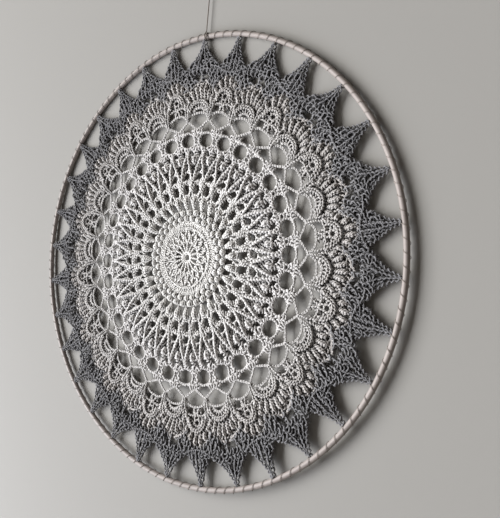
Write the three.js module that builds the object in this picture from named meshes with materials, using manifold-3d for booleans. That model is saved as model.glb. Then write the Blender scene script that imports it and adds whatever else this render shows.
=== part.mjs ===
// A crocheted mandala lashed into a metal hoop, hung by one thread.
// Millimetres, +Z up, the front faces -Y. The origin is where the nail carries the loop.
import * as THREE from 'three';
import { mergeGeometries, mergeVertices } from 'three/addons/utils/BufferGeometryUtils.js';
import Module from 'manifold-3d';

const wasm = await Module();
wasm.setup();

// Counts
const points = 32;
const spokes = 16;
const bobbles = 32;
const lashTurnsPerPoint = 2;

// Hoop and threads
const rodDiameter = 6;
const rodSides = 10;
const hoopSteps = 96;
const threadDiameter = 1.1;
const threadSides = 8;
const seatGap = 0.3;

// Lace, from the eyelet outward: the height of each round
const eyeletRadius = 3.2;
const medallionHeight = 31.7;
const innerBobbleHeight = 9;
const outerBobbleHeight = 8.6;
const leafHeight = 13;
const ovalHeight = 18.5;
const reliefHeight = 36;
const archHeight = 19.5;
const meshHeight = 25;
const shellHeight = 24.8;
const borderHeight = 27.3;
const tipHeight = 25.9;

// Lace thickness, front to back
const laceThickness = 2.4;
const bobbleThickness = 6.4;
const reliefThickness = 3.6;
const shellThickness = 4.8;
const laceForward = 0.4;

// Openwork: the yarn left round each gap
const spokeWidth = 2.2;
const spokeInner = 5.4;
const spokeLength = 8;
const edgeBand = 2.2;
const leafWidth = 2.6;
const ovalColumn = 6.6;
const pocketWidth = 8;
const pocketHeight = 5;
const pocketOffset = 6.2;
const archColumn = 8.4;
const meshColumn = 5.4;
const meshBand = 3.8;
const meshZigzag = 8;
const chainWidth = 2.6;
const lensWidth = 4.4;
const lensHeight = 8;
const lensSpread = 9;
const eyeWidth = 6.6;
const eyeSpread = 5.4;
const eyeRise = 3;

// Scallops of the shell round and the shape of the points
const wideCrest = 4.8;
const tallCrest = 13.4;
const wideTipWidth = 13;
const slimTipWidth = 8.6;
const tipEndWidth = 4.2;
const tipShoulder = 13.5;
const crestWidthShare = 0.48;
const crestHeightShare = 0.8;

// Hanging thread
const nailAboveHoop = 64.5;
const loopLength = 16;
const loopWidth = 6.4;
const knotDiameter = 4.2;
const knotHeight = 4.6;
const hitchPitch = 2.9;
const hitchTurns = 1.7;
const hitchSteps = 12;
const hitchSides = 6;
const standLength = 3;
const loopFootShare = 0.3;
const loopShoulderShare = 0.35;
const loopCrownShare = 0.1;

// Radii worked out from the rounds
const medallionRadius = eyeletRadius + medallionHeight;
const innerBobbleRadius = medallionRadius + innerBobbleHeight;
const outerBobbleRadius = innerBobbleRadius + outerBobbleHeight;
const leafRadius = outerBobbleRadius + leafHeight;
const ovalRadius = leafRadius + ovalHeight;
const reliefRadius = ovalRadius + reliefHeight;
const archRadius = reliefRadius + archHeight;
const meshRadius = archRadius + meshHeight;
const shellRadius = meshRadius + shellHeight;
const valleyRadius = shellRadius + borderHeight;
const tipRadius = valleyRadius + tipHeight;

// The lashing turns clear the rod at the middle of each straight step
const lashSteps = 6;
const lashSides = 4;
const windRadius = rodDiameter / 2 + seatGap + threadDiameter / 2;
const lashRadius = windRadius / Math.cos(Math.PI / lashSteps);
const hitchRadius = windRadius / Math.cos(Math.PI / hitchSteps);
const hoopRadius = tipRadius + seatGap + threadDiameter / 2 + lashRadius;
const hoopDrop = nailAboveHoop + hoopRadius;

// Finishes
const paleYarn = { color: 0xe2dfda, roughness: 0.95, metalness: 0 };
const greyYarn = { color: 0x8d8d92, roughness: 0.95, metalness: 0 };
const thread = { color: 0xa79d95, roughness: 0.9, metalness: 0 };
const coatedSteel = { color: 0xd2c8c2, roughness: 0.55, metalness: 0.1 };

const mandala = new THREE.Group();
const hoopGroup = new THREE.Group();
hoopGroup.position.z = -hoopDrop;
mandala.add(hoopGroup);

function addMesh(parent, name, geometry, finish) {
  const mesh = new THREE.Mesh(geometry, new THREE.MeshStandardMaterial(finish));
  mesh.name = name;
  parent.add(mesh);
  return mesh;
}

// The lace plane: angles run clockwise from the top, seen from the front
function place(angle, across, radius) {
  const x = across * Math.cos(angle) + radius * Math.sin(angle);
  const z = radius * Math.cos(angle) - across * Math.sin(angle);
  return new THREE.Vector2(x, z);
}

function turnOf(step, count) {
  return (2 * Math.PI * step) / count;
}

// One gap for each copy round the centre, from its corners as [across, radius]
function repeatGap(count, shift, corners) {
  const gaps = [];
  for (let copy = 0; copy < count; copy += 1) {
    const angle = turnOf(copy + shift, count);
    gaps.push(corners.map(([across, radius]) => place(angle, across, radius)));
  }
  return gaps;
}

function ring(radius, count, shift = 0) {
  const corners = [];
  for (let step = 0; step < count; step += 1) {
    corners.push(place(turnOf(step + shift, count), 0, radius));
  }
  return corners;
}

function roundGap(across, radius, width, height, sides) {
  const corners = [];
  for (let side = 0; side < sides; side += 1) {
    const angle = turnOf(side + 0.5, sides);
    corners.push([across + (width / 2) * Math.sin(angle), radius + (height / 2) * Math.cos(angle)]);
  }
  return corners;
}

function pitchAt(radius) {
  return 2 * radius * Math.tan(Math.PI / points);
}

function toSolid(geometry) {
  const bare = geometry.clone();
  bare.deleteAttribute('normal');
  bare.deleteAttribute('uv');
  const merged = mergeVertices(bare);
  const vertProperties = merged.attributes.position.array;
  const triVerts = new Uint32Array(merged.index.array);
  return new wasm.Manifold(new wasm.Mesh({ numProp: 3, vertProperties, triVerts }));
}

function toGeometry(solid) {
  const { vertProperties, triVerts } = solid.getMesh();
  const geometry = new THREE.BufferGeometry();
  geometry.setAttribute('position', new THREE.BufferAttribute(vertProperties, 3));
  geometry.setIndex(new THREE.BufferAttribute(triVerts, 1));
  return geometry;
}

// A flat outline made solid, from its back face forward
function slab(corners, back, thickness) {
  const geometry = new THREE.ExtrudeGeometry(new THREE.Shape(corners),
    { depth: thickness, bevelEnabled: false });
  geometry.rotateX(Math.PI / 2);
  geometry.translate(0, back, 0);
  return geometry;
}

// A round of lace: a flat ring between two outlines, with its gaps cut right through
function addRound(name, inner, outer, gaps, thickness, finish) {
  const cutBack = thickness - laceForward;
  const cuts = [inner, ...gaps].map((corners) => slab(corners, cutBack, 3 * thickness));
  const solid = toSolid(slab(outer, -laceForward, thickness)).subtract(toSolid(mergeGeometries(cuts)));
  const geometry = toGeometry(solid);
  geometry.computeVertexNormals();
  addMesh(hoopGroup, name, geometry, finish);
}

// A tube through its points, with a section carried along without twist and flat ends
const sectionStart = new THREE.Vector3(0.3, 0.5, 0.8);

function windTube(path, diameter, sides) {
  const vertices = [];
  const faces = [];
  const tangents = path.map((point, index) => {
    const before = path[Math.max(index - 1, 0)];
    const after = path[Math.min(index + 1, path.length - 1)];
    return after.clone().sub(before).normalize();
  });
  const normal = sectionStart.clone().cross(tangents[0]).normalize();
  path.forEach((point, index) => {
    normal.addScaledVector(tangents[index], -normal.dot(tangents[index])).normalize();
    const side = tangents[index].clone().cross(normal);
    for (let corner = 0; corner < sides; corner += 1) {
      const angle = turnOf(corner, sides);
      const spot = point.clone();
      spot.addScaledVector(normal, (diameter / 2) * Math.cos(angle));
      spot.addScaledVector(side, (diameter / 2) * Math.sin(angle));
      vertices.push(spot.x, spot.y, spot.z);
    }
  });
  for (let index = 0; index + 1 < path.length; index += 1) {
    for (let corner = 0; corner < sides; corner += 1) {
      const next = (corner + 1) % sides;
      const low = index * sides;
      const high = low + sides;
      faces.push(low + corner, low + next, high + next);
      faces.push(low + corner, high + next, high + corner);
    }
  }
  const last = (path.length - 1) * sides;
  for (let corner = 1; corner + 1 < sides; corner += 1) {
    faces.push(0, corner + 1, corner);
    faces.push(last, last + corner, last + corner + 1);
  }
  const geometry = new THREE.BufferGeometry();
  geometry.setAttribute('position', new THREE.Float32BufferAttribute(vertices, 3));
  geometry.setIndex(faces);
  geometry.computeVertexNormals();
  return geometry;
}

// Least gap between turns of a wound tube, measured on points along it
const gapSamples = 4;

function leastGap(path, diameter, apart) {
  const spots = [];
  for (let index = 0; index + 1 < path.length; index += 1) {
    for (let part = 0; part < gapSamples; part += 1) {
      spots.push(path[index].clone().lerp(path[index + 1], part / gapSamples));
    }
  }
  let least = Infinity;
  for (let first = 0; first < spots.length; first += 1) {
    for (let second = first + apart * gapSamples; second < spots.length; second += 1) {
      least = Math.min(least, spots[first].distanceTo(spots[second]));
    }
  }
  return least - diameter;
}

// Hoop: a rod bent to a circle and welded
const hoopGeometry = new THREE.TorusGeometry(hoopRadius, rodDiameter / 2, rodSides, hoopSteps);
hoopGeometry.rotateX(Math.PI / 2);
addMesh(hoopGroup, 'hoop', hoopGeometry, coatedSteel);

// Centre medallion: an eyelet, a ring of spokes and a close disc
const slotWidth = (2 * Math.PI * (eyeletRadius + spokeInner)) / spokes - spokeWidth;
const slotStart = eyeletRadius + spokeInner;
const slotEnd = slotStart + spokeLength;
const slot = [
  [-slotWidth / 2, slotStart],
  [slotWidth / 2, slotStart],
  [slotWidth / 2, slotEnd],
  [-slotWidth / 2, slotEnd],
];
const medallionRing = ring(medallionRadius, points);
addRound('centre_medallion', ring(eyeletRadius, spokes), medallionRing,
  repeatGap(spokes, 0.5, slot), laceThickness, paleYarn);

// Two rounds of bobbles, set half a step to each other, with a notched seam between
const innerBobbleRing = ring(innerBobbleRadius, bobbles, 0.5);
addRound('inner_bobble_round', ring(medallionRadius + seatGap, points), innerBobbleRing,
  [], bobbleThickness, paleYarn);
const outerBobbleRing = ring(outerBobbleRadius, points);
addRound('outer_bobble_round', ring(innerBobbleRadius + seatGap, bobbles, 0.5), outerBobbleRing,
  [], bobbleThickness, paleYarn);

// Leaf round: clusters that widen outward, with a pointed gap between each pair
const leafStart = outerBobbleRadius + seatGap;
const leafGapWidth = pitchAt(leafStart + edgeBand / 2) - leafWidth;
const leafGap = [
  [-leafGapWidth / 2, leafStart + edgeBand / 2],
  [leafGapWidth / 2, leafStart + edgeBand / 2],
  [0, leafRadius - edgeBand / 2],
];
addRound('leaf_round', ring(leafStart, points), ring(leafRadius, points),
  repeatGap(points, 0, leafGap), laceThickness, paleYarn);

// Oval round: upright gaps between paired columns
const ovalStart = leafRadius + seatGap;
const ovalMiddle = (ovalStart + ovalRadius) / 2;
const ovalGap = roundGap(0, ovalMiddle, pitchAt(ovalMiddle) - ovalColumn,
  ovalRadius - ovalStart - 2 * edgeBand, 6);
addRound('oval_round', ring(ovalStart, points), ring(ovalRadius, points),
  repeatGap(points, 0.5, ovalGap), laceThickness, paleYarn);

// Relief round: raised posts lean together over a small pocket
const reliefStart = ovalRadius + seatGap;
const pocketStart = reliefStart + pocketOffset;
const pocket = [
  [-pocketWidth / 2, pocketStart],
  [pocketWidth / 2, pocketStart],
  [0, pocketStart + pocketHeight],
];
addRound('relief_round', ring(reliefStart, points), ring(reliefRadius, points),
  repeatGap(points, 0.5, pocket), reliefThickness, paleYarn);

// Arch round: wide gaps between forked columns
const archStart = reliefRadius + seatGap;
const archMiddle = (archStart + archRadius) / 2;
const archGap = roundGap(0, archMiddle, pitchAt(archMiddle) - archColumn,
  archRadius - archStart - edgeBand, 6);
addRound('arch_round', ring(archStart, points), ring(archRadius, points),
  repeatGap(points, 0.5, archGap), laceThickness, paleYarn);

// Chain mesh: a zigzag of chain under large six-sided gaps
const meshStart = archRadius + seatGap;
const zigzagFoot = meshStart + meshBand;
const zigzagHead = zigzagFoot + meshZigzag;
const cellHalf = (pitchAt(zigzagHead) - meshColumn) / 2;
const cellTop = meshRadius - chainWidth;
const cellShoulder = (zigzagHead + cellTop) / 2 + chainWidth / 2;
const cell = [
  [0, zigzagFoot + chainWidth / 2],
  [cellHalf, zigzagHead],
  [cellHalf, cellShoulder],
  [cellHalf / 2, cellTop],
  [-cellHalf / 2, cellTop],
  [-cellHalf, cellShoulder],
];
const underHalf = pitchAt(zigzagFoot) / 2 - meshColumn;
const under = [
  [-underHalf, zigzagFoot],
  [underHalf, zigzagFoot],
  [0, zigzagHead - chainWidth],
];
const meshGaps = [...repeatGap(points, 0, cell), ...repeatGap(points, 0.5, under)];
addRound('chain_mesh', ring(meshStart, points), ring(meshRadius, points),
  meshGaps, laceThickness, paleYarn);

// Shell round: wide and tall shells in turn, so its rim rises and falls
function shellRim(offset) {
  const corners = [];
  for (let point = 0; point < points; point += 1) {
    const crest = point % 2 === 0 ? wideCrest : tallCrest;
    const rise = shellRadius + crestHeightShare * crest + offset;
    corners.push(place(turnOf(point - 0.5, points), 0, shellRadius + offset));
    corners.push(place(turnOf(point - crestWidthShare / 2, points), 0, rise));
    corners.push(place(turnOf(point + crestWidthShare / 2, points), 0, rise));
  }
  return corners;
}

const shellStart = meshRadius + seatGap;
const lensMiddle = shellStart + edgeBand + lensHeight / 2;
const lensGaps = [-1, 1].flatMap((side) => repeatGap(points / 2, 0.5, [
  [side * lensSpread, lensMiddle - lensHeight / 2],
  [side * lensSpread + lensWidth / 2, lensMiddle],
  [side * lensSpread, lensMiddle + lensHeight / 2],
  [side * lensSpread - lensWidth / 2, lensMiddle],
]));
addRound('shell_round', ring(shellStart, points), shellRim(0), lensGaps, shellThickness, paleYarn);

// Grey border: one point for each shell, ending on the lashing
function borderRim() {
  const corners = [];
  for (let point = 0; point < points; point += 1) {
    const angle = turnOf(point, points);
    const half = (point % 2 === 0 ? wideTipWidth : slimTipWidth) / 2;
    const shoulder = valleyRadius + tipShoulder;
    corners.push(place(turnOf(point - 0.5, points), 0, valleyRadius));
    corners.push(place(angle, -half, shoulder));
    corners.push(place(angle, -tipEndWidth / 2, tipRadius));
    corners.push(place(angle, tipEndWidth / 2, tipRadius));
    corners.push(place(angle, half, shoulder));
  }
  return corners;
}

const eyeMiddle = shellRadius + wideCrest + eyeRise + eyeWidth / 2;
const eyeGaps = [-1, 1].flatMap((side) => repeatGap(points / 2, 0,
  roundGap(side * eyeSpread, eyeMiddle, eyeWidth, eyeWidth, 4)));
addRound('point_border', shellRim(seatGap), borderRim(), eyeGaps, laceThickness, greyYarn);

// Lashing: one thread wound round the hoop, with a turn at every point and one between
const lashTurns = lashTurnsPerPoint * (points - 1);
const lashPath = [];
for (let step = 0; step <= lashTurns * lashSteps; step += 1) {
  const wind = turnOf(step, lashSteps);
  const angle = turnOf(0.5 + step / lashSteps / lashTurnsPerPoint, points);
  const spot = place(angle, 0, hoopRadius - lashRadius * Math.cos(wind));
  lashPath.push(new THREE.Vector3(spot.x, lashRadius * Math.sin(wind), spot.y));
}
addMesh(hoopGroup, 'lashing_thread', windTube(lashPath, threadDiameter, lashSides), thread);
const lashGap = leastGap(lashPath, threadDiameter, lashSteps / 2);
console.log('lashing_thread least gap to itself, mm:', lashGap.toFixed(2));

// Hitch: the hanging thread goes twice round the rod at the top of the hoop
const hitchPath = [];
const hitchTop = -nailAboveHoop + hitchRadius + threadDiameter + standLength;
hitchPath.push(new THREE.Vector3(0, 0, hitchTop));
hitchPath.push(new THREE.Vector3(0, 0, hitchTop - threadDiameter));
for (let step = 1; step <= hitchTurns * hitchSteps; step += 1) {
  const wind = turnOf(step, hitchSteps);
  const across = (hitchPitch * step) / hitchSteps;
  const forward = -hitchRadius * Math.sin(wind);
  hitchPath.push(new THREE.Vector3(across, forward, hitchRadius * Math.cos(wind) - nailAboveHoop));
}
addMesh(mandala, 'hitch', windTube(hitchPath, threadDiameter, hitchSides), thread);
const hitchGap = leastGap(hitchPath, threadDiameter, hitchSteps / 2);
console.log('hitch least gap to itself, mm:', hitchGap.toFixed(2));

// A thread laid along chosen points, with an even round section
function layThread(route, steps) {
  const section = new THREE.Shape(ring(threadDiameter / 2, threadSides));
  const extrudePath = new THREE.CatmullRomCurve3(route);
  return new THREE.ExtrudeGeometry(section, { steps, bevelEnabled: false, extrudePath });
}

// Knot below the nail: a small round overhand knot
const knotTop = -loopLength;
const knotMiddle = knotTop - knotHeight / 2;
const knotProfile = [];
const knotRings = 6;
for (let level = 0; level <= knotRings; level += 1) {
  const angle = (Math.PI * level) / knotRings;
  const radius = level % knotRings === 0 ? 0 : (knotDiameter / 2) * Math.sin(angle);
  knotProfile.push(new THREE.Vector2(radius, -(knotHeight / 2) * Math.cos(angle)));
}
const knotGeometry = new THREE.LatheGeometry(knotProfile, threadSides);
knotGeometry.rotateX(Math.PI / 2);
knotGeometry.translate(0, 0, knotMiddle);
addMesh(mandala, 'loop_knot', knotGeometry, thread);

// Rising thread from the hitch to the knot
const riseTop = knotTop - knotHeight - seatGap;
const riseFoot = hitchTop + seatGap;
const riseRoute = [
  new THREE.Vector3(0, 0, riseFoot),
  new THREE.Vector3(0, 0, (riseFoot + riseTop) / 2),
  new THREE.Vector3(0, 0, riseTop),
];
addMesh(mandala, 'hanging_thread', layThread(riseRoute, 12), thread);

// Loop over the nail: both ends go into the knot
const loopFoot = knotTop + seatGap;
const loopCrown = threadDiameter / 2;
const legSpread = threadDiameter / 2 + seatGap;
const loopRoute = [
  new THREE.Vector3(-legSpread, 0, loopFoot),
  new THREE.Vector3(-loopWidth / 3, 0, loopFoot + loopFootShare * loopLength),
  new THREE.Vector3(-loopWidth / 2, 0, loopCrown - loopShoulderShare * loopLength),
  new THREE.Vector3(-loopWidth / 3, 0, loopCrown - loopCrownShare * loopLength),
  new THREE.Vector3(0, 0, loopCrown),
  new THREE.Vector3(loopWidth / 3, 0, loopCrown - loopCrownShare * loopLength),
  new THREE.Vector3(loopWidth / 2, 0, loopCrown - loopShoulderShare * loopLength),
  new THREE.Vector3(loopWidth / 3, 0, loopFoot + loopFootShare * loopLength),
  new THREE.Vector3(legSpread, 0, loopFoot),
];
addMesh(mandala, 'hanging_loop', layThread(loopRoute, 24), thread);

export default mandala;
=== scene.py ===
import bpy
from bisect import bisect
from math import atan2, cos, degrees, dist, hypot, pi, radians, sin, sqrt
from mathutils import Matrix, Vector
from random import Random


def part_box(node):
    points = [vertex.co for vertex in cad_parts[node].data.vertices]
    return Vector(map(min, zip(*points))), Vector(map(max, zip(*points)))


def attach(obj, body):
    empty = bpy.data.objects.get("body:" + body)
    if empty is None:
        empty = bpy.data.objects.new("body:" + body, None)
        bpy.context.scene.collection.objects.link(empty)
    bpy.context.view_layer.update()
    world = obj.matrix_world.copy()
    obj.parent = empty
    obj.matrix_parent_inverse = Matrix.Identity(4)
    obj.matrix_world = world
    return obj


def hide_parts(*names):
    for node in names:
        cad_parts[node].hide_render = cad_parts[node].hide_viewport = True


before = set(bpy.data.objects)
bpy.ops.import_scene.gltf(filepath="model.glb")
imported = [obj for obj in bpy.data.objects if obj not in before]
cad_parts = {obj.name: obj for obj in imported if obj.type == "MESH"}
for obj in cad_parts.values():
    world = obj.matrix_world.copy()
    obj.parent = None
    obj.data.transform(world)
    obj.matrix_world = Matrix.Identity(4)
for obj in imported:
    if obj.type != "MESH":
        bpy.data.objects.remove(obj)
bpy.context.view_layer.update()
mm = 0.001
hoopLow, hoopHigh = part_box("hoop")
hoopCentre = (hoopLow + hoopHigh) / 2
rodRadius = (hoopHigh.y - hoopLow.y) / 2
hoopRadius = (hoopHigh.x - hoopLow.x) / 2 - rodRadius
print("frame loaded, hoop radius", round(hoopRadius / mm, 1), "mm")

# Camera: held close, to the right of the hoop, rolled a little
eye = dict(place=(0.3946, -0.4431, 0.0048), look=(-0.5720, 0.8203, 0.0003), roll=4.94, lens=36.66,
           sensor=36.0, near=0.01)  # place in metres from the hoop's centre


def makeCamera():
    data = bpy.data.cameras.new("eye")
    data.lens = eye["lens"]
    data.sensor_width = eye["sensor"]
    data.clip_start = eye["near"]
    camera = bpy.data.objects.new("eye", data)
    bpy.context.collection.objects.link(camera)
    ahead = Vector(eye["look"]).normalized()
    right = ahead.cross(Vector((0, 0, 1))).normalized()
    up = right.cross(ahead)
    roll = radians(eye["roll"])
    right, up = right * cos(roll) + up * sin(roll), up * cos(roll) - right * sin(roll)
    turn = Matrix((right, up, -ahead)).transposed().to_4x4()
    camera.matrix_world = Matrix.Translation(hoopCentre + Vector(eye["place"])) @ turn
    bpy.context.scene.camera = camera


makeCamera()
print("camera placed")


def addNode(tree, kind, inputs=None, **settings):
    node = tree.nodes.new(kind)
    for name, value in settings.items():
        setattr(node, name, value)
    for key, value in (inputs or {}).items():
        if isinstance(value, bpy.types.NodeSocket):
            tree.links.new(value, node.inputs[key])
        else:
            node.inputs[key].default_value = value
    return node


def linear(hexColour):
    parts = [int(hexColour[i:i + 2], 16) / 255 for i in (1, 3, 5)]
    return [p / 12.92 if p <= 0.04045 else ((p + 0.055) / 1.055) ** 2.4 for p in parts] + [1.0]


def newMaterial(name):
    material = bpy.data.materials.new(name)
    material.use_nodes = True
    material.node_tree.nodes.clear()
    return material, material.node_tree


# Cotton yarn: matt and soft; its colour is painted darker in the grooves between the plies, painted shade that leaves
# each ply's crown lit, and painted brown in the creases
cotton = dict(shade=0.72, rough=0.92, sheen=0.12, blotch=9, creaseReach=6.0, fuzzShare=0.35, bump=0.5, bumpDeep=0.12,
              creaseShadeTones=((0.18, "#1f1a18"), (0.7, "#ffffff")))  # sizes in mm


def cottonYarn(name, tones, plies=3, lay=5.2, fuzz=0.25):  # lay and fuzz in mm
    material, tree = newMaterial(name)
    place = addNode(tree, "ShaderNodeTexCoord").outputs["Object"]
    ring = addNode(tree, "ShaderNodeAttribute", attribute_name="ring").outputs["Vector"]
    run = addNode(tree, "ShaderNodeAttribute", attribute_name="run").outputs["Fac"]
    around = addNode(tree, "ShaderNodeSeparateXYZ", {0: ring})
    angle = addNode(tree, "ShaderNodeMath", {0: around.outputs[1], 1: around.outputs[0]}, operation="ARCTAN2")
    twist = addNode(tree, "ShaderNodeMath", {0: run, 1: 2 * pi / (lay * mm), 2: angle.outputs[0]},
                    operation="MULTIPLY_ADD")  # one ply goes once round in a lay
    phase = addNode(tree, "ShaderNodeMath", {0: twist.outputs[0], 1: plies}, operation="MULTIPLY")
    wave = addNode(tree, "ShaderNodeMath", {0: phase.outputs[0]}, operation="SINE")
    # painted shade: the colour dips to the shade factor in the grooves between the plies
    plyShade = addNode(tree, "ShaderNodeMapRange", {0: wave.outputs[0], 1: -1.0, 2: 0.6, 3: cotton["shade"], 4: 1.0})
    fibre = addNode(tree, "ShaderNodeTexNoise", {"Vector": place, "Scale": 1 / (fuzz * mm), "Detail": 2.0})
    cloud = addNode(tree, "ShaderNodeTexNoise", {"Vector": place, "Scale": 1 / (cotton["blotch"] * mm), "Detail": 2.0})
    centred = addNode(tree, "ShaderNodeVectorMath", {0: place, 1: tuple(hoopCentre)}, operation="SUBTRACT")
    radius = addNode(tree, "ShaderNodeVectorMath", {0: centred.outputs[0]}, operation="LENGTH")
    share = addNode(tree, "ShaderNodeMath", {0: radius.outputs["Value"], 1: hoopRadius}, operation="DIVIDE")
    ramp = addNode(tree, "ShaderNodeValToRGB", {0: share.outputs[0]})  # tone by radius: the yarn's dye darkens from middle to rim; the thread is darker past the rim
    ramp.color_ramp.elements.remove(ramp.color_ramp.elements[1])
    for n, (where, colour) in enumerate(tones):
        stop = ramp.color_ramp.elements[0] if n == 0 else ramp.color_ramp.elements.new(where)
        stop.position = where
        stop.color = linear(colour)
    worn = addNode(tree, "ShaderNodeMapRange", {0: cloud.outputs[0], 1: 0.3, 2: 0.7, 3: 0.9, 4: 1.06})
    fuzzy = addNode(tree, "ShaderNodeMapRange", {0: fibre.outputs[0], 1: 0.25, 2: 0.75, 3: 0.88, 4: 1.08})
    first = addNode(tree, "ShaderNodeMath", {0: worn.outputs[0], 1: fuzzy.outputs[0]}, operation="MULTIPLY")
    # random wear and fibre tone times the painted ply shade
    depth = addNode(tree, "ShaderNodeMath", {0: first.outputs[0], 1: plyShade.outputs[0]}, operation="MULTIPLY")
    # Painted shade: ambient occlusion darkens the yarn's colour to brown in the creases between strands
    crease = addNode(tree, "ShaderNodeAmbientOcclusion", {"Distance": cotton["creaseReach"] * mm}, samples=8)
    creaseShade = addNode(tree, "ShaderNodeValToRGB", {0: crease.outputs["AO"]})  # painted shade: the colour turns dark brown in the creases, from ambient occlusion
    for stop, (where, tone) in zip(creaseShade.color_ramp.elements, cotton["creaseShadeTones"]):
        stop.position = where
        stop.color = linear(tone)
    # the dye's colour times the painted crease shade
    dyed = addNode(tree, "ShaderNodeVectorMath", {0: ramp.outputs[0], 1: creaseShade.outputs[0]}, operation="MULTIPLY")
    colour = addNode(tree, "ShaderNodeVectorMath", {0: dyed.outputs[0], "Scale": depth.outputs[0]}, operation="SCALE")
    height = addNode(tree, "ShaderNodeMath", {0: fibre.outputs[0], 1: cotton["fuzzShare"], 2: wave.outputs[0]},
                     operation="MULTIPLY_ADD")
    bump = addNode(tree, "ShaderNodeBump", {"Strength": cotton["bump"], "Distance": cotton["bumpDeep"] * mm,
                                            "Height": height.outputs[0]})
    surface = addNode(tree, "ShaderNodeBsdfPrincipled", {
        "Base Color": colour.outputs[0], "Roughness": cotton["rough"], "Specular IOR Level": 0.25,
        "Sheen Weight": cotton["sheen"], "Sheen Roughness": 0.5, "Normal": bump.outputs[0]})
    addNode(tree, "ShaderNodeOutputMaterial", {"Surface": surface.outputs[0]})
    return material


paleCotton = cottonYarn("pale_cotton_yarn", [(0.0, "#fbf9f5"), (0.22, "#f4f2ee"), (0.5, "#e0dddb"), (0.66, "#d5d2cf"),
                                             (0.8, "#c9c4c0")])  # share of the hoop's radius, colour
greyCotton = cottonYarn("grey_cotton_yarn", [(0.76, "#969596"), (0.9, "#7d7c7e"), (1.0, "#828183")])
# the thread's tone is darker past the hoop's rim, on the hanging part above the hoop
cottonThread = cottonYarn("cotton_thread", [(0.0, "#a3988f"), (1.0, "#a89e95"), (1.3, "#857a71")], plies=2, lay=3.0,
                          fuzz=0.2)


# Steel rod with a powder coat: warm pale grey, satin, with a fine orange peel and a few rubbed spots
coat = dict(peel=0.9, blotch=30, clean="#9b928d", rubbed="#8b827d", satin=(0.42, 0.62), bumpDeep=0.08)  # sizes in mm


def coatedSteel():
    material, tree = newMaterial("powder_coated_steel")
    place = addNode(tree, "ShaderNodeTexCoord").outputs["Object"]
    peel = addNode(tree, "ShaderNodeTexNoise", {"Vector": place, "Scale": 1 / (coat["peel"] * mm), "Detail": 3.0})
    cloud = addNode(tree, "ShaderNodeTexNoise", {"Vector": place, "Scale": 1 / (coat["blotch"] * mm), "Detail": 4.0})
    rub = addNode(tree, "ShaderNodeMapRange", {0: cloud.outputs[0], 1: 0.4, 2: 0.75, 3: 0.0, 4: 1.0})
    colour = addNode(tree, "ShaderNodeMix", {0: rub.outputs[0], 6: linear(coat["clean"]), 7: linear(coat["rubbed"])},
                     data_type="RGBA")
    satin = addNode(tree, "ShaderNodeMapRange", {0: peel.outputs[0], 3: coat["satin"][0], 4: coat["satin"][1]})
    bump = addNode(tree, "ShaderNodeBump", {"Strength": 0.25, "Distance": coat["bumpDeep"] * mm,
                                            "Height": peel.outputs[0]})
    surface = addNode(tree, "ShaderNodeBsdfPrincipled", {
        "Base Color": colour.outputs[2], "Roughness": satin.outputs[0], "Normal": bump.outputs[0],
        "Specular IOR Level": 0.4})
    addNode(tree, "ShaderNodeOutputMaterial", {"Surface": surface.outputs[0]})
    return material


coatedRod = coatedSteel()
print("materials made")


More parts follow.
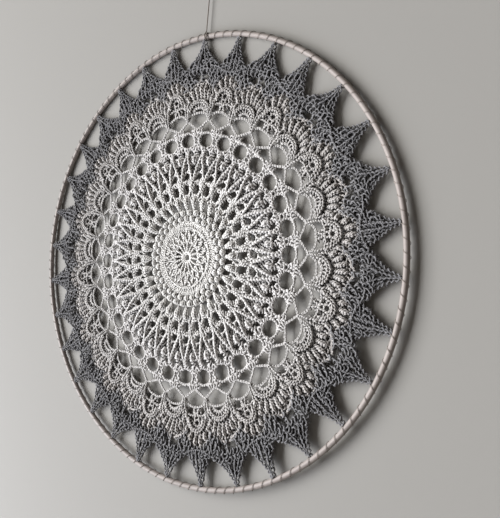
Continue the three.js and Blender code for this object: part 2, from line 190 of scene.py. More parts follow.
# One tree for every round: yarn laid on the drawn line, turned round the hoop centre, nudged by noise
def crochetTree():
    tree = bpy.data.node_groups.new("crochetRound", "GeometryNodeTree")
    sockets = {}
    for name, kind in (("Stitches", "Geometry"), ("Repeats", "Int"), ("Yarn Diameter", "Float"), ("Sides", "Int"),
                       ("Smoothness", "Int"), ("Wander", "Float"), ("Wander Size", "Float"), ("Jitter", "Float"),
                       ("Jitter Size", "Float"), ("Nub", "Float"), ("Nub Size", "Float"), ("Seed", "Float"),
                       ("Centre", "Vector"), ("Yarn", "Material")):
        sockets[name] = tree.interface.new_socket(name, in_out="INPUT", socket_type="NodeSocket" + kind).identifier
    tree.interface.new_socket("Round", in_out="OUTPUT", socket_type="NodeSocketGeometry")
    given = addNode(tree, "NodeGroupInput").outputs
    soft = addNode(tree, "GeometryNodeCurveSplineType", {"Curve": given["Stitches"]}, spline_type="CATMULL_ROM")
    fine = addNode(tree, "GeometryNodeSetSplineResolution", {0: soft.outputs[0], "Resolution": given["Smoothness"]})
    along = addNode(tree, "GeometryNodeSplineParameter").outputs["Length"]
    line = addNode(tree, "GeometryNodeStoreNamedAttribute",
                   {"Geometry": fine.outputs[0], "Name": "run", "Value": along}, data_type="FLOAT", domain="POINT")
    radius = addNode(tree, "ShaderNodeMath", {0: given["Yarn Diameter"], 1: 0.5}, operation="MULTIPLY")
    circle = addNode(tree, "GeometryNodeCurvePrimitiveCircle",
                     {"Resolution": given["Sides"], "Radius": radius.outputs[0]})
    place = addNode(tree, "GeometryNodeInputPosition").outputs[0]
    section = addNode(tree, "GeometryNodeStoreNamedAttribute",
                      {"Geometry": circle.outputs[0], "Name": "ring", "Value": place},
                      data_type="FLOAT_VECTOR", domain="POINT")
    fineness = addNode(tree, "ShaderNodeMath", {0: 1.0, 1: given["Nub Size"]}, operation="DIVIDE")
    lump = addNode(tree, "ShaderNodeTexNoise", {"Vector": place, "Scale": fineness.outputs[0], "Detail": 0.0})
    thin, fat = (addNode(tree, "ShaderNodeMath", {0: 1.0, 1: given["Nub"]}, operation=way).outputs[0]
                 for way in ("SUBTRACT", "ADD"))
    thick = addNode(tree, "ShaderNodeMapRange", {0: lump.outputs[0], 1: 0.3, 2: 0.7, 3: thin, 4: fat})
    uneven = addNode(tree, "GeometryNodeSetCurveRadius", {"Curve": line.outputs[0], "Radius": thick.outputs[0]})
    tube = addNode(tree, "GeometryNodeCurveToMesh",
                   {"Curve": uneven.outputs[0], "Profile Curve": section.outputs[0], "Fill Caps": True})
    index = addNode(tree, "GeometryNodeInputIndex").outputs[0]
    step = addNode(tree, "ShaderNodeMath", {0: 2 * pi, 1: given["Repeats"]}, operation="DIVIDE")
    angle = addNode(tree, "ShaderNodeMath", {0: index, 1: step.outputs[0]}, operation="MULTIPLY")
    euler = addNode(tree, "ShaderNodeCombineXYZ", {"Y": angle.outputs[0]})
    points = addNode(tree, "GeometryNodePoints", {"Count": given["Repeats"]})
    copies = addNode(tree, "GeometryNodeInstanceOnPoints", {
        "Points": points.outputs[0], "Instance": tube.outputs[0], "Rotation": euler.outputs[0]})
    whole = addNode(tree, "GeometryNodeRealizeInstances", {0: copies.outputs[0]})
    shifts = []
    for size, amount in (("Wander Size", "Wander"), ("Jitter Size", "Jitter")):
        scale = addNode(tree, "ShaderNodeMath", {0: 1.0, 1: given[size]}, operation="DIVIDE")
        noise = addNode(tree, "ShaderNodeTexNoise", {"Vector": place, "W": given["Seed"], "Scale": scale.outputs[0],
                                                     "Detail": 0.0}, noise_dimensions="4D")
        even = addNode(tree, "ShaderNodeVectorMath", {0: noise.outputs["Color"], 1: (0.5, 0.5, 0.5)},
                       operation="SUBTRACT")
        shifts.append(addNode(tree, "ShaderNodeVectorMath", {0: even.outputs[0], "Scale": given[amount]},
                              operation="SCALE").outputs[0])
    shift = addNode(tree, "ShaderNodeVectorMath", {0: shifts[0], 1: shifts[1]}, operation="ADD")
    moved = addNode(tree, "GeometryNodeSetPosition", {"Geometry": whole.outputs[0], "Offset": shift.outputs[0]})
    hung = addNode(tree, "GeometryNodeTransform", {"Geometry": moved.outputs[0], "Translation": given["Centre"]})
    smooth = addNode(tree, "GeometryNodeSetShadeSmooth", {0: hung.outputs[0]})
    dyed = addNode(tree, "GeometryNodeSetMaterial", {"Geometry": smooth.outputs[0], "Material": given["Yarn"]})
    addNode(tree, "NodeGroupOutput", {0: dyed.outputs[0]})
    return tree, sockets


roundTree, roundSockets = crochetTree()
handwork = dict(wander=3.0, wanderSize=34.0, jitter=1.5, jitterSize=4.5, nub=0.3, nubSize=1.8, seed=3.0)  # in mm
liftStops = ((0, -0.9), (140, -0.9), (165, -0.7), (205, -0.5), (230, -0.35), (246, 0.0))  # radius, lift


def lift(radius):  # how far the lace stands before the hoop's plane, less than 0 behind it
    for (r0, h0), (r1, h1) in zip(liftStops, liftStops[1:]):
        if radius <= r1:
            t = (radius - r0) / (r1 - r0)
            return h0 + (h1 - h0) * t * t * (3 - 2 * t)
    return liftStops[-1][1]


def crochet(name, strands, settings, yarn, centre=hoopCentre, lifted=True):
    data = bpy.data.curves.new(name + "Line", "CURVE")
    data.dimensions = "3D"
    for strand in strands:
        spline = data.splines.new("POLY")
        spline.points.add(len(strand) - 1)
        for point, (x, z, h) in zip(spline.points, strand):
            proud = lift(hypot(x, z)) if lifted else 0.0
            point.co = (x * mm, -(h + proud) * mm, z * mm, 1.0)
    line = bpy.data.objects.new(name + "Line", data)
    bpy.context.collection.objects.link(line)
    modifier = line.modifiers.new("crochet", "NODES")
    modifier.node_group = roundTree
    values = {"Repeats": settings["repeats"], "Yarn Diameter": settings["yarn"] * mm, "Sides": settings["sides"],
              "Smoothness": settings["smooth"], "Wander": handwork["wander"] * mm * lifted,
              "Wander Size": handwork["wanderSize"] * mm, "Jitter": handwork["jitter"] * mm * lifted,
              "Jitter Size": handwork["jitterSize"] * mm, "Nub": handwork["nub"] * lifted,
              "Nub Size": handwork["nubSize"] * mm, "Seed": handwork["seed"], "Centre": tuple(centre), "Yarn": yarn}
    for key, value in values.items():
        modifier[roundSockets[key]] = value
    mesh = bpy.data.meshes.new_from_object(line.evaluated_get(bpy.context.evaluated_depsgraph_get()))
    bpy.data.objects.remove(line)
    mesh.name = name
    piece = bpy.data.objects.new(name, mesh)
    bpy.context.collection.objects.link(piece)
    print(name, len(strands), "strands,", sum(len(p.vertices) - 2 for p in mesh.polygons), "triangles")
    return piece


def dress(piece, body, slotName, *nodes):
    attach(piece, body)
    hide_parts(*nodes)
    return piece


pointCount = 32
unit = 360 / pointCount  # degrees from point to point
half = unit / 2


# Stitches, drawn as (across, outward, forward) in mm round the hoop centre
def spot(angle, radius, height=0.0):  # degrees clockwise from the top
    return (radius * sin(radians(angle)), radius * cos(radians(angle)), height)


def arc(radius, first, last, height=0.0, count=9):
    return [spot(first + (last - first) * i / (count - 1), radius, height) for i in range(count)]


def dome(centre, halfWide, tall, angle, height=0.0):  # a spot on an arch over a centre
    return (halfWide * sin(radians(angle)), centre + tall * cos(radians(angle)), height)


def domeLine(centre, halfWide, tall, reach, height=0.0, count=11):
    return [dome(centre, halfWide, tall, reach * (2 * i / (count - 1) - 1), height) for i in range(count)]


def turned(strands, angle):
    c, s = cos(radians(angle)), sin(radians(angle))
    return [[(x * c + z * s, z * c - x * s, h) for x, z, h in strand] for strand in strands]


def mirrored(strands):
    return [[(-x, z, h) for x, z, h in strand] for strand in strands]


def both(strands):
    return strands + mirrored(strands)


def bothOfHalf(strands):  # the same on the other side of the line between two points
    return strands + turned(mirrored(strands), unit)


def guide(points):  # a smooth line through the points, asked for by the share of its length
    dense = []
    last = len(points) - 1
    for i in range(last):
        a, b, c, d = points[max(i - 1, 0)], points[i], points[i + 1], points[min(i + 2, last)]
        for t in (0, 0.2, 0.4, 0.6, 0.8):
            dense.append([b[n] + 0.5 * t * (c[n] - a[n] + t * (2 * a[n] - 5 * b[n] + 4 * c[n] - d[n]
                          + t * (3 * b[n] - a[n] - 3 * c[n] + d[n]))) for n in range(3)])
    dense.append(points[-1])
    reach = [0.0]
    for p, q in zip(dense, dense[1:]):
        reach.append(reach[-1] + dist(p, q))

    def beside(share, side=0.0, up=0.0):
        want = share * reach[-1]
        i = min(max(bisect(reach, want) - 1, 0), len(dense) - 2)
        p, q = dense[i], dense[i + 1]
        t = (want - reach[i]) / (reach[i + 1] - reach[i])
        x, z, h = (p[n] + (q[n] - p[n]) * t for n in range(3))
        flat = hypot(q[0] - p[0], q[1] - p[1]) or 1.0
        tx, tz = (q[0] - p[0]) / flat, (q[1] - p[1]) / flat
        return (x + tz * side, z - tx * side, h + up)

    return beside, reach[-1]


def cord(points, swing=0.65, pitch=3.2, flat=0.8):  # a leg: the yarn turns about its line, one knob a turn
    beside, length = guide(points)
    count = max(3, round(4 * length / pitch))
    start = points[0][0] * 0.7 + points[0][1] * 0.3  # so neighbours don't match
    swings = [2 * pi * (i / 4 + start) for i in range(count + 1)]
    return [[beside(i / count, swing * cos(w), flat * swing * sin(w)) for i, w in enumerate(swings)]]


linkShape = ((0, 0, -1), (0.3, -0.9, 0.1), (0.85, -0.9, 0.8), (1.2, 0, -0.1), (0.85, 0.9, 0.8), (0.3, 0.9, 0.1))


def chain(points, pitch=3.2, wide=0.7, deep=0.6):  # links drawn through each other: ahead in links, side, forward
    beside, length = guide(points)
    links = max(1, round(length / pitch))
    strand = [beside((i + ahead) / links, side * wide, up * deep)
              for i in range(links) for ahead, side, up in linkShape]
    return [strand + [beside(1.0, 0, -deep)]]


curlShape = ((-1.2, -0.2, -0.6), (-0.7, 0.6, 0.2), (0.1, 0.7, 0.7), (0.7, 0.0, 0.5), (1.2, -0.7, -0.5))
curlSize, curlRise, curlDeep = (0.85, 1.15), 0.4, 0.7
chance = Random(5)


def inside(x, z, holes):  # holes as (angle, radius, half width, half height)
    radius, angle = hypot(x, z), degrees(atan2(x, z))
    return any((radians(angle - a) * radius / wide) ** 2 + ((radius - r) / tall) ** 2 < 1
               for a, r, wide, tall in holes)


def fill(lines, spacing, holes=(), size=1.5, wild=1.5, sunk=(), drop=1.8):  # short stitches, none in the holes
    made = []
    for level, line in enumerate(lines):
        beside, length = guide(line)
        count = max(1, round(length / spacing))
        for i in range(count):
            x, z, h = beside((i + 0.25 + 0.5 * (level % 2)) / count)
            turn = atan2(z, x) + chance.uniform(-wild, wild)
            large = size * chance.uniform(*curlSize)
            h += chance.uniform(-curlRise, curlRise) - drop * inside(x, z, sunk)
            if not inside(x, z, holes):
                made.append([(x + large * (along * cos(turn) - across * sin(turn)),
                              z + large * (along * sin(turn) + across * cos(turn)), h + curlDeep * large * up)
                             for along, across, up in curlShape])
    return made


def arcs(first, last, step, left, right, height=0.0):
    return [arc(first + step * i, left, right, height) for i in range(round((last - first) / step) + 1)]


def puff(points, wide, deep, strands=3, peak=1.0, swing=0.45, pitch=2.6):  # trebles drawn together at both ends
    beside, length = guide(points)
    made = []
    for j in range(strands):
        u = 2 * j / (strands - 1) - 1
        line = []
        for i in range(7):
            t = i / 6
            swell = sin(pi * t ** peak) ** 0.8 if 0 < t < 1 else 0.0
            line.append(beside(t, u * wide / 2 * (0.25 + 0.75 * swell), deep * swell * sqrt(1 - 0.8 * u * u)))
        made += cord(line, swing, pitch)
    return made


# Centre medallion: ring, sixteen spokes, a lattice of crossing trebles, close rows of short stitches
medallion = dict(repeats=pointCount // 2, yarn=2.0, sides=6, smooth=1, spoke=(6.6, 17.2), cross=23.7, meet=30.0)
medallionSunk = ((0, 22.4, 1.7, 3.2), (2 * unit, 22.4, 1.7, 3.2), (unit, 28.4, 3.2, 2.6))


def medallionStitches(s):
    wide = 2 * unit
    made = [arc(4.0, 0, wide, 0.4, 5), arc(5.7, 0, wide, 1.1, 5)]
    made += cord([spot(0, s["spoke"][0], 1.2), spot(0, 12.5, 2.0), spot(0, s["spoke"][1], 2.0)], 0.5, 2.9)
    made += both(cord([spot(1.4, s["spoke"][1] + 0.4, 2.2), spot(9.9, s["cross"], 2.5)], 0.45, 3.2))
    made += both(cord([spot(10.4, s["cross"] + 0.8, 2.5), spot(2.0, s["meet"], 2.3)], 0.45, 3.2))
    made += cord(arc(33.4, 0, wide, 2.0), 0.6, 2.8)
    made += fill(arcs(17.6, 31.4, 2.3, 0, wide, 0.9), 2.5, size=1.2, wild=0.8, sunk=medallionSunk, drop=0.6)
    made += fill(arcs(35.8, 39.6, 1.9, 0, wide, 1.2), 2.6, size=1.1, wild=0.5)
    return made


# Two rounds of bobbles, trebles drawn together in one top
innerBobbles = dict(repeats=pointCount, yarn=2.0, sides=5, smooth=1, foot=41.6, crown=47.0, wide=5.2, deep=2.5)
outerBobbles = dict(repeats=pointCount, yarn=2.0, sides=5, smooth=1, foot=47.8, crown=53.4, wide=6.0, deep=2.5)


def bobbleStitches(s, angle):
    made = fill(arcs(s["foot"], s["foot"] + 4.6, 2.3, angle - half, angle + half, -0.2), 2.8, size=1.2)
    made += puff([spot(angle, s["foot"], 0.8), spot(angle, s["crown"], 1.0)], s["wide"], s["deep"], 4, 1.0, 0.2)
    return made


# Leaf round: clusters that open outward over dark gaps
leaves = dict(repeats=pointCount, yarn=2.0, sides=5, smooth=1, foot=55.0, crown=68.2, wide=6.2, deep=3.6)


def leafStitches(s):
    return puff([spot(half, s["foot"], 0.8), spot(half, s["crown"], 1.0)], s["wide"], s["deep"], 4, 1.7, 0.5, 3.0)


# Oval round: two trebles lean together, stand as one column and part again
ovals = dict(repeats=pointCount, yarn=2.1, sides=5, smooth=1, foot=66.4, waist=73.4, head=84.0)
ovalHoles = ((0, 70.6, 1.8, 2.6), (half, 76.0, 4.9, 6.4), (unit, 70.6, 1.8, 2.6))


def ovalStitches(s):
    legs = [spot(3.0, s["foot"], 0.8), spot(1.5, s["waist"], 2.2), spot(1.4, 78.5, 2.6), spot(2.0, s["head"], 2.2)]
    made = both(cord(legs, 0.65))
    made += cord([spot(0, s["waist"] + 0.2, 2.4), spot(0, 79.0, 3.4), spot(0, 85.6, 2.8)], 0.6)
    made += both(cord([spot(1.3, s["waist"] - 0.6, -1.1), spot(1.3, s["head"], -1.1)], 0.5))
    made += fill(arcs(66.4, 69.6, 3.2, 0, unit, 1.4) + arcs(68.0, 68.0, 3.2, 0, unit, -0.8), 3.4, ovalHoles, 1.7)
    made += fill(arcs(72.0, 84.4, 3.1, 0, unit, 1.2), 3.3, ovalHoles, 1.6, 0.9)
    made += both(cord([spot(3.1, 67.2, 0.0), spot(1.6, 70.2, -0.6), spot(0.2, 74.0, -0.6)], 0.5))
    return made


# Relief round: post trebles stand proud, part and lean to an apex between the points, a petal in each fork
reliefPosts = dict(repeats=pointCount, yarn=2.8, sides=5, smooth=1, petal=(105.6, 114.4))
reliefGround = dict(repeats=pointCount, yarn=2.3, sides=4, smooth=1)
reliefHoles = ((half, 92.6, 6.1, 5.2), (half - 2.7, 117.2, 3.3, 5.0), (half + 2.7, 117.2, 3.3, 5.0),
               (half, 103.4, 1.5, 5.0), (1.4, 105.0, 1.8, 2.2), (-1.4, 105.0, 1.8, 2.2),
               (unit - 1.4, 105.0, 1.8, 2.2), (unit + 1.4, 105.0, 1.8, 2.2))
reliefSunk = ((0, 98.6, 3.4, 6.0), (unit, 98.6, 3.4, 6.0))


def reliefPostStitches(s):
    ridge = [spot(0.7, 85.4, 2.4), spot(0.9, 89, 2.8), spot(1.9, 95, 3.2), spot(3.1, 102, 3.4), spot(4.3, 108, 3.4),
             spot(5.0, 113.5, 3.0), spot(5.2, 119.0, 1.4)]
    made = bothOfHalf(cord(ridge, 0.6, 3.8))
    made += puff([spot(0, s["petal"][0], 1.4), spot(0, s["petal"][1], 1.6)], 4.4, 2.6, 3, 1.0, 0.6, 3.6)
    return made


def reliefGroundStitches():
    made = turned(cord(domeLine(90.9, 5.5, 5.5, 96, 1.4, 9)), half)
    made += bothOfHalf(cord([spot(half - 2.0, 98.0, 1.6), spot(half - 1.4, 104, 2.2), spot(half - 1.0, 110.0, 2.2)],
                            0.5, 3.4))
    made += fill(arcs(85.0, 121.6, 3.05, 0, unit, 1.1), 3.7, reliefHoles, 1.9, 1.3, reliefSunk)
    made += fill(arcs(86.6, 121.4, 4.3, 0, unit, -1.0), 4.8, reliefHoles, 2.0)
    return made


# Arch round: columns of trebles between large round openings
arches = dict(repeats=pointCount, yarn=2.4, sides=5, smooth=1, middle=131.6, halfWide=10.3, tall=9.0)
archHoles = ((half, 131.6, 10.5, 9.4), (half, 142.4, 6.0, 2.4))
archSunk = ((0, 131.0, 2.2, 5.0), (unit, 131.0, 2.2, 5.0))


def archStitches(s):
    rim = turned([domeLine(s["middle"], s["halfWide"], s["tall"], 180, 0.5, 17)], half)[0]
    made = cord(rim, 0.6)
    made += fill(arcs(123.0, 142.2, 3.2, 0, unit, 0.7), 3.6, archHoles, 1.9, 1.5, archSunk)
    return made


# Chain net: one chain zigzags between two circles, high arches stand on its outer corners
chainNet = dict(repeats=pointCount, yarn=1.6, sides=5, smooth=1, low=144.2, high=153.6, arch=163.2)


def chainNetStitches(s):
    zig = [spot(0.15, s["low"], 0.9), spot(1.3, 146.0, 0.8), spot(4.4, 151.8, 0.8), spot(half, s["high"], 0.9)]
    made = chain(zig + turned(mirrored([zig[:3][::-1]]), unit)[0])
    made += both(cord([spot(0.5, 139.6, 0.6), spot(0.3, s["low"] + 0.6, 0.9)], 0.5))
    side = [spot(-5.1, 155.0, 0.4), spot(-4.5, 158.6, 0.6), spot(-2.6, 162.2, 0.8), spot(0, s["arch"], 0.8)]
    made += chain(side + mirrored([side[:3][::-1]])[0])
    stem = [spot(half - 0.35, s["high"] - 0.4, 1.4), spot(half - 0.5, 159, 2.8), spot(half - 0.8, 166, 3.0)]
    made += bothOfHalf(cord(stem, 0.6, 2.8))
    return made


# Shell round: a wide fan on every other point, a narrow fan set higher between them
wideShell = dict(repeats=pointCount // 2, yarn=2.0, sides=5, smooth=1, centre=163.8, fingers=9)
narrowShell = dict(repeats=pointCount // 2, yarn=2.0, sides=5, smooth=1, centre=176.0, fingers=6)
shellGround = dict(repeats=pointCount // 2, yarn=2.1, sides=4, smooth=1)
shellHoles = ((0, 166.0, 8.2, 3.4), (unit - 3.0, 168.0, 4.2, 3.2), (unit + 3.0, 168.0, 4.2, 3.2),
              (unit, 180.4, 3.6, 3.6))
finger = dict(wide=2.9, deep=2.2, strands=3, peak=1.7, swing=0.6, pitch=3.3)


def wideShellStitches(s):
    c = s["centre"]
    made = chain(domeLine(c, 7.2, 5.0, 86, 0.8))
    for i in range(8):
        a = 22 * i - 77
        made += cord([dome(c, 7.8, 6.0, a, 0.4), dome(c, 11.0, 9.6, a, 1.2)], 0.4)
    made += cord(domeLine(c, 11.8, 10.9, 94, 2.8), 0.7)
    made += cord(domeLine(c, 14.2, 13.3, 90, 2.6))
    for i in range(s["fingers"]):
        a = 142 * i / (s["fingers"] - 1) - 71
        made += puff([dome(c, 16.2, 16.4, a, -0.6), dome(c, 23.4, 30.4, a, 0.8)], **finger)
    made += both(chain([(21.0, 189.4, 0.2), (14.9, 193.6, -0.2), (3.2, 200.2, -1.0), (0.3, 201.4, -1.2)],
                       3.4, 0.6, 0.4))
    made += both(cord([(14.8, 164.4, 2.0), (16.4, 169.6, 2.4), (16.2, 176.0, 1.2)]))
    made += both(cord([(17.4, 167.0, 0.4), (19.2, 173.6, 0.4), (21.6, 181.0, 0.2)]))
    return made


def narrowShellStitches(s):
    c = s["centre"]
    made = cord(domeLine(180.4, 3.6, 3.6, 180, 0.8, 13), 0.5)
    for i in range(6):
        a = 28 * i - 70
        made += cord([dome(c, 5.6, 6.8, a, 0.4), dome(c, 8.2, 9.6, a, 1.2)], 0.4)
    made += cord(domeLine(c, 9.2, 10.8, 98, 3.0), 0.7)
    made += cord(domeLine(c, 11.4, 13.3, 90, 2.4))
    for i in range(s["fingers"]):
        a = 132 * i / (s["fingers"] - 1) - 66
        made += puff([dome(c, 12.6, 15.8, a, -0.6), dome(c, 17.0, 27.4, a, 0.8)], **finger)
    made += cord(domeLine(c, 18.4, 28.8, 68, -0.2), 0.5)
    made += both(cord([(3.2, 163.6, 0.6), (2.4, 167.0, 0.8), (0.5, 171.0, 1.0)], 0.5))
    made += both(cord([(0.6, 171.2, 0.9), (6.8, 172.6, 0.8), (13.0, 169.8, 0.6)], 0.5))
    made += both(cord([(0.7, 171.6, 1.0), (2.4, 174.6, 0.8), (3.0, 178.2, 0.8)], 0.5))
    made += both(cord([(14.0, 163.8, 1.8), (13.2, 172.4, 2.0), (11.8, 180.0, 1.0)]))
    made += both(cord([(12.6, 178.8, 0.4), (14.8, 184.0, 0.4), (17.4, 190.0, 0.6)], 0.55))
    made += both(cord([(16.8, 172.0, 0.2), (18.2, 180.0, 0.2), (20.6, 188.6, 0.2)], 0.55))
    return turned(made, unit)


def shellGroundStitches():  # the plain rows behind the fans
    return fill(arcs(165.8, 195.4, 3.7, -half, 3 * half, -1.5), 4.0, shellHoles, 2.0)


# Grey border: each point is an uneven net with long ribs that draw together at the hoop
widePoint = dict(repeats=pointCount // 2, yarn=1.8, sides=4, smooth=1, spacing=4.0,
                 rows=((23.0, 200.6, 13.0), (24.4, 203.8, 10.0), (25.2, 207.0, 7.0), (25.0, 210.2, 4.2),
                       (23.8, 213.4, 2.4), (20.4, 216.6, 1.2), (16.2, 219.8, 0.8), (12.6, 223.0, 0.6),
                       (9.6, 226.2, 0.4), (7.0, 229.4, 0.3), (5.0, 232.6, 0.2), (3.6, 235.8, 0.1),
                       (2.4, 239.0, 0), (1.6, 242.2, 0), (1.2, 245.2, 0)),  # half width, radius, droop
                 ribs=((0.3, 2, 15, 1.6), (0.62, 1, 10, 1.0), (0.84, 0, 5, 1.8)))  # across, rows, height
narrowPoint = dict(repeats=pointCount // 2, yarn=1.8, sides=4, smooth=1, spacing=4.0,
                   rows=((17.0, 206.6, 12.0), (18.2, 209.8, 8.0), (17.4, 213.0, 4.6), (15.0, 216.2, 2.6),
                         (12.6, 219.4, 1.6), (10.2, 222.6, 1.0), (8.0, 225.8, 0.6), (6.2, 229.0, 0.4),
                         (4.6, 232.2, 0.3), (3.4, 235.4, 0.2), (2.4, 238.8, 0), (1.6, 242.2, 0), (1.2, 245.2, 0)),
                   ribs=((0.3, 1, 13, 1.6), (0.64, 1, 8, 1.0)))
widePointHoles = ((1.5, 203.6, 4.9, 4.6), (-1.5, 203.6, 4.9, 4.6))


def rowSpot(line, u, height=0.0):
    halfWide, middle, droop = line
    return (halfWide * u, middle - droop * u * u, height)


def pointStitches(s, holes=()):
    back, front = ([[rowSpot(line, u / 4, height) for u in range(-4, 5)] for line in s["rows"][:last]]
                   for height, last in ((-0.9, 11), (1.2, 7)))
    made = fill(back, s["spacing"], holes, 2.3, 1.4) + fill(front, 1.3 * s["spacing"], holes, 2.4, 1.2)
    edge = [(x + 0.6, z, h) for x, z, h in (rowSpot(line, 1, 0.7) for line in s["rows"][3:])]
    made += both(cord(edge, 0.95, 4.6))
    for across, first, last, height in s["ribs"]:
        made += both(cord([rowSpot(line, across, height) for line in s["rows"][first:last]], 0.5, 4.2))
    return made


def postStitches():  # one treble between the two eyelets of a wide point
    return cord([(0.0, 201.4, 1.2), (0.2, 206.0, 1.6), (0.0, 213.0, 1.4)], 0.4, 3.6)


def swagStitches():  # a raised cord round the foot of a narrow point
    return cord([(x, 207.4 + 5.0 * (x / 18.5) ** 2, 2.4) for x in (-18.5, -12, -6, 0, 6, 12, 18.5)], 0.55, 2.8)


def addRound(name, strands, settings, finish, node):
    yarn, slotName = finish
    dress(crochet(name, strands, settings, yarn), "mandala", slotName, node)


pale, grey = (paleCotton, "pale_yarn"), (greyCotton, "grey_yarn")
addRound("medallion_yarn", medallionStitches(medallion), medallion, pale, "centre_medallion")
addRound("inner_bobbles_yarn", bobbleStitches(innerBobbles, half), innerBobbles, pale, "inner_bobble_round")
addRound("outer_bobbles_yarn", bobbleStitches(outerBobbles, 0), outerBobbles, pale, "outer_bobble_round")
addRound("leaves_yarn", leafStitches(leaves), leaves, pale, "leaf_round")
addRound("ovals_yarn", ovalStitches(ovals), ovals, pale, "oval_round")
addRound("relief_posts_yarn", reliefPostStitches(reliefPosts), reliefPosts, pale, "relief_round")
addRound("relief_ground_yarn", reliefGroundStitches(), reliefGround, pale, "relief_round")
addRound("arches_yarn", archStitches(arches), arches, pale, "arch_round")
addRound("chain_net_yarn", chainNetStitches(chainNet), chainNet, pale, "chain_mesh")
addRound("wide_shells_yarn", wideShellStitches(wideShell), wideShell, pale, "shell_round")
addRound("narrow_shells_yarn", narrowShellStitches(narrowShell), narrowShell, pale, "shell_round")
addRound("shell_ground_yarn", shellGroundStitches(), shellGround, pale, "shell_round")
addRound("wide_points_yarn", pointStitches(widePoint, widePointHoles) + postStitches(), widePoint, grey, "point_border")
addRound("narrow_points_yarn", turned(pointStitches(narrowPoint) + swagStitches(), unit), narrowPoint, grey,
         "point_border")
print("crochet worked")

# Lashing: one thread round the rod, four turns for each point, one of them through the point's end
lashing = dict(repeats=pointCount, yarn=0.58, sides=5, smooth=2, turns=4, tight=3.45, through=5.1, catchHalf=1.6,
               steps=10)


def lashingStitches(s):
    strand = []
    for i in range(s["turns"] * s["steps"] + 1):
        turn = i / s["steps"]
        across = unit * (turn / s["turns"] - 0.5)
        inner = max(0.0, cos(2 * pi * turn))
        catch = s["through"] - s["tight"] if abs(across) < s["catchHalf"] else 0.0
        out = s["tight"] + catch * inner ** 2
        strand.append(spot(across, hoopRadius / mm - out * cos(2 * pi * turn), s["tight"] * sin(2 * pi * turn)))
    return [strand]


dress(crochet("lashing_cotton", lashingStitches(lashing), lashing, cottonThread, lifted=False), "mandala", "thread",
      "lashing_thread")

# Hanging thread: hitched round the rod, straight up to a knot, and a tied loop for the nail
hanging = dict(repeats=1, yarn=1.1, sides=8, smooth=3, drop=64.5, hitch=3.85, hitchTop=56.41, lead=1.1, pitch=2.9,
               windSteps=12, winds=20, riseGap=0.3, riseTop=21.2, riseSteps=20)
knot = dict(hanging, yarn=1.2, middle=18.3, wide=0.42, tall=0.48, deep=0.9, start=0.5, steps=30)
loop = dict(long=16.0, wide=6.4, foot=0.85, low=0.3, top=0.55)
origin = (0.0, 0.0, 0.0)
hitchLine = [(0, -hanging["hitchTop"], 0), (0, -hanging["hitchTop"] - hanging["lead"], 0)]
for i in range(1, hanging["winds"] + 1):
    wind = 2 * pi * i / hanging["windSteps"]
    hitchLine.append((hanging["pitch"] * i / hanging["windSteps"], hanging["hitch"] * cos(wind) - hanging["drop"],
                      hanging["hitch"] * sin(wind)))
dress(crochet("hitch_cotton", [hitchLine], hanging, cottonThread, origin, False), "thread", "thread", "hitch")
riseLong = hanging["hitchTop"] - hanging["riseTop"]
riseLine = [(0, -hanging["hitchTop"] + hanging["riseGap"] + riseLong * i / hanging["riseSteps"], 0)
            for i in range(hanging["riseSteps"] + 1)]
rise = dress(crochet("hanging_cotton", [riseLine], hanging, cottonThread, origin, False), "thread", "thread",
             "hanging_thread")
knotLine = []
for i in range(knot["steps"] + 1):
    t = 2 * pi * i / knot["steps"] + knot["start"]
    knotLine.append((knot["wide"] * (sin(t) + 2 * sin(2 * t)),
                     -knot["middle"] + knot["tall"] * (cos(t) - 2 * cos(2 * t)), -knot["deep"] * sin(3 * t)))
knotted = dress(crochet("knot_cotton", [knotLine], knot, cottonThread, origin, False), "knot", "thread", "loop_knot")
wide, long, low, top = loop["wide"], loop["long"], loop["low"], loop["top"]
side = [(-loop["foot"], low - long, 0), (-wide / 3, low - 0.7 * long, 0), (-wide / 2, top - 0.35 * long, 0),
        (-wide / 3, top - 0.1 * long, 0)]
loopLine = side + [(0, top, 0)] + mirrored([side[::-1]])[0]
tied = dress(crochet("loop_cotton", [loopLine], hanging, cottonThread, origin, False), "loop", "thread", "hanging_loop")
path = [(x * mm, -h * mm, z * mm) for x, z, h in riseLine]
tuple(path[0])
dist(path[0], path[-1])
print("threads tied")

# Hoop: one bent rod, its ends butt welded at the foot, where it swells a little
hoopRod = dict(steps=240, sides=16, weld=0.35, weldLong=5.0)


def makeHoop(s):
    verts, faces = [], []
    for i in range(s["steps"]):
        a = 2 * pi * i / s["steps"]
        arcFromWeld = abs(i - s["steps"] / 2) / s["steps"] * 2 * pi * hoopRadius / mm
        thick = rodRadius + s["weld"] * mm * max(0.0, 1 - (arcFromWeld / s["weldLong"]) ** 2)
        for j in range(s["sides"]):
            b = 2 * pi * j / s["sides"]
            r = hoopRadius + thick * cos(b)
            verts.append((r * sin(a), -thick * sin(b), r * cos(a) + hoopCentre.z))
    for i in range(s["steps"]):
        for j in range(s["sides"]):
            n, m = (i + 1) % s["steps"], (j + 1) % s["sides"]
            faces.append([k[0] * s["sides"] + k[1] for k in ((i, j), (i, m), (n, m), (n, j))])
    data = bpy.data.meshes.new("hoop_rod")
    data.from_pydata(verts, [], faces)
    data.materials.append(coatedRod)
    data.polygons.foreach_set("use_smooth", [True] * len(faces))
    data.validate()
    piece = bpy.data.objects.new("hoop_rod", data)
    bpy.context.collection.objects.link(piece)
    return piece


dress(makeHoop(hoopRod), "mandala", "coated_steel", "hoop")
print("hoop bent")

# Stage: wall close behind, floor below, a window far to the left and a small lamp low at the left
stage = dict(wallBack=0.0051, wallLean=0.0062, wallTurn=0.0045, wallSide=(-0.75, 0.6), wallHigh=(-1.5, 0.6),
             wallPaint="#999793", floorDrop=1.5, floorHalf=1.6, floorPaint="#dddbd6")
plaster = dict(grain=4, bump=0.08, bumpDeep=0.3, rough=0.95)  # sizes in mm


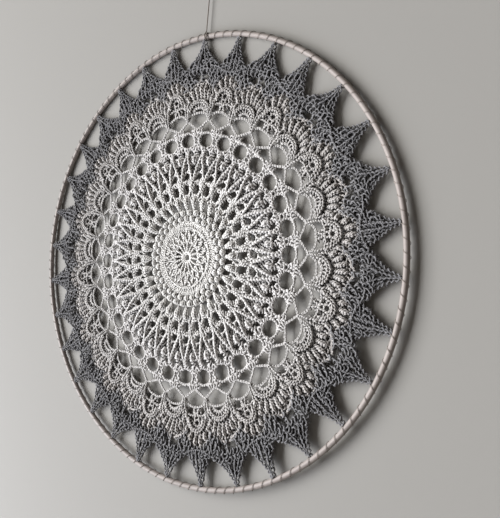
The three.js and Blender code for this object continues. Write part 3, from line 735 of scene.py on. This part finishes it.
def paintedPlaster(name, colour, oneSided):
    material, tree = newMaterial(name)
    place = addNode(tree, "ShaderNodeTexCoord").outputs["Object"]
    grain = addNode(tree, "ShaderNodeTexNoise", {"Vector": place, "Scale": 1 / (plaster["grain"] * mm), "Detail": 3.0})
    bump = addNode(tree, "ShaderNodeBump", {"Strength": plaster["bump"], "Distance": plaster["bumpDeep"] * mm,
                                            "Height": grain.outputs[0]})
    surface = addNode(tree, "ShaderNodeBsdfPrincipled", {
        "Base Color": linear(colour), "Roughness": plaster["rough"], "Specular IOR Level": 0.1,
        "Normal": bump.outputs[0]}).outputs[0]
    if oneSided:  # seen from behind it isn't there, so the back of the part shows
        facing = addNode(tree, "ShaderNodeNewGeometry").outputs["Backfacing"]
        clear = addNode(tree, "ShaderNodeBsdfTransparent")
        surface = addNode(tree, "ShaderNodeMixShader", {0: facing, 1: surface, 2: clear.outputs[0]}).outputs[0]
    addNode(tree, "ShaderNodeOutputMaterial", {"Surface": surface})
    return material


def addPanel(name, corners, material):
    data = bpy.data.meshes.new(name)
    data.from_pydata(corners, [], [(0, 1, 2, 3)])
    data.materials.append(material)
    panel = bpy.data.objects.new(name, data)
    bpy.context.collection.objects.link(panel)


(x0, x1), (z0, z1) = stage["wallSide"], [hoopCentre.z + z for z in stage["wallHigh"]]
corners = [(x, stage["wallBack"] + stage["wallTurn"] * x - stage["wallLean"] * (z - hoopCentre.z), z)
           for x, z in ((x0, z0), (x1, z0), (x1, z1), (x0, z1))]  # the hoop leans on it at the upper left
addPanel("wall", corners, paintedPlaster("wall_plaster", stage["wallPaint"], True))
reach, low = stage["floorHalf"], hoopCentre.z - stage["floorDrop"]
addPanel("floor", [(-reach, -reach, low), (reach, -reach, low), (reach, reach, low), (-reach, reach, low)],
         paintedPlaster("floor_plaster", stage["floorPaint"], False))

lamps = dict(window=dict(place=(-6.45, -4.73, 0.6), wide=4.4, tall=8.4, power=1300.0, colour="#ffffff"),
             sill=dict(place=(-1.15, -0.8, -0.8), wide=0.9, tall=0.9, power=22.0, colour="#eef3ff"))
room = dict(colour="#fff1e4", strength=0.12)


def addLamp(name, s):
    data = bpy.data.lights.new(name, "AREA")
    data.shape = "RECTANGLE"
    data.size, data.size_y = s["wide"], s["tall"]
    data.energy = s["power"]
    data.color = linear(s["colour"])[:3]
    light = bpy.data.objects.new(name, data)
    bpy.context.collection.objects.link(light)
    light.location = hoopCentre + Vector(s["place"])
    light.rotation_euler = (-Vector(s["place"])).to_track_quat("-Z", "Y").to_euler()


for name, settings in lamps.items():
    addLamp(name, settings)
world = bpy.data.worlds.new("room")
world.use_nodes = True
world.node_tree.nodes["Background"].inputs[0].default_value = linear(room["colour"])
world.node_tree.nodes["Background"].inputs[1].default_value = room["strength"]
bpy.context.scene.world = world
bpy.context.scene.view_settings.view_transform = "Standard"
print("stage lit")
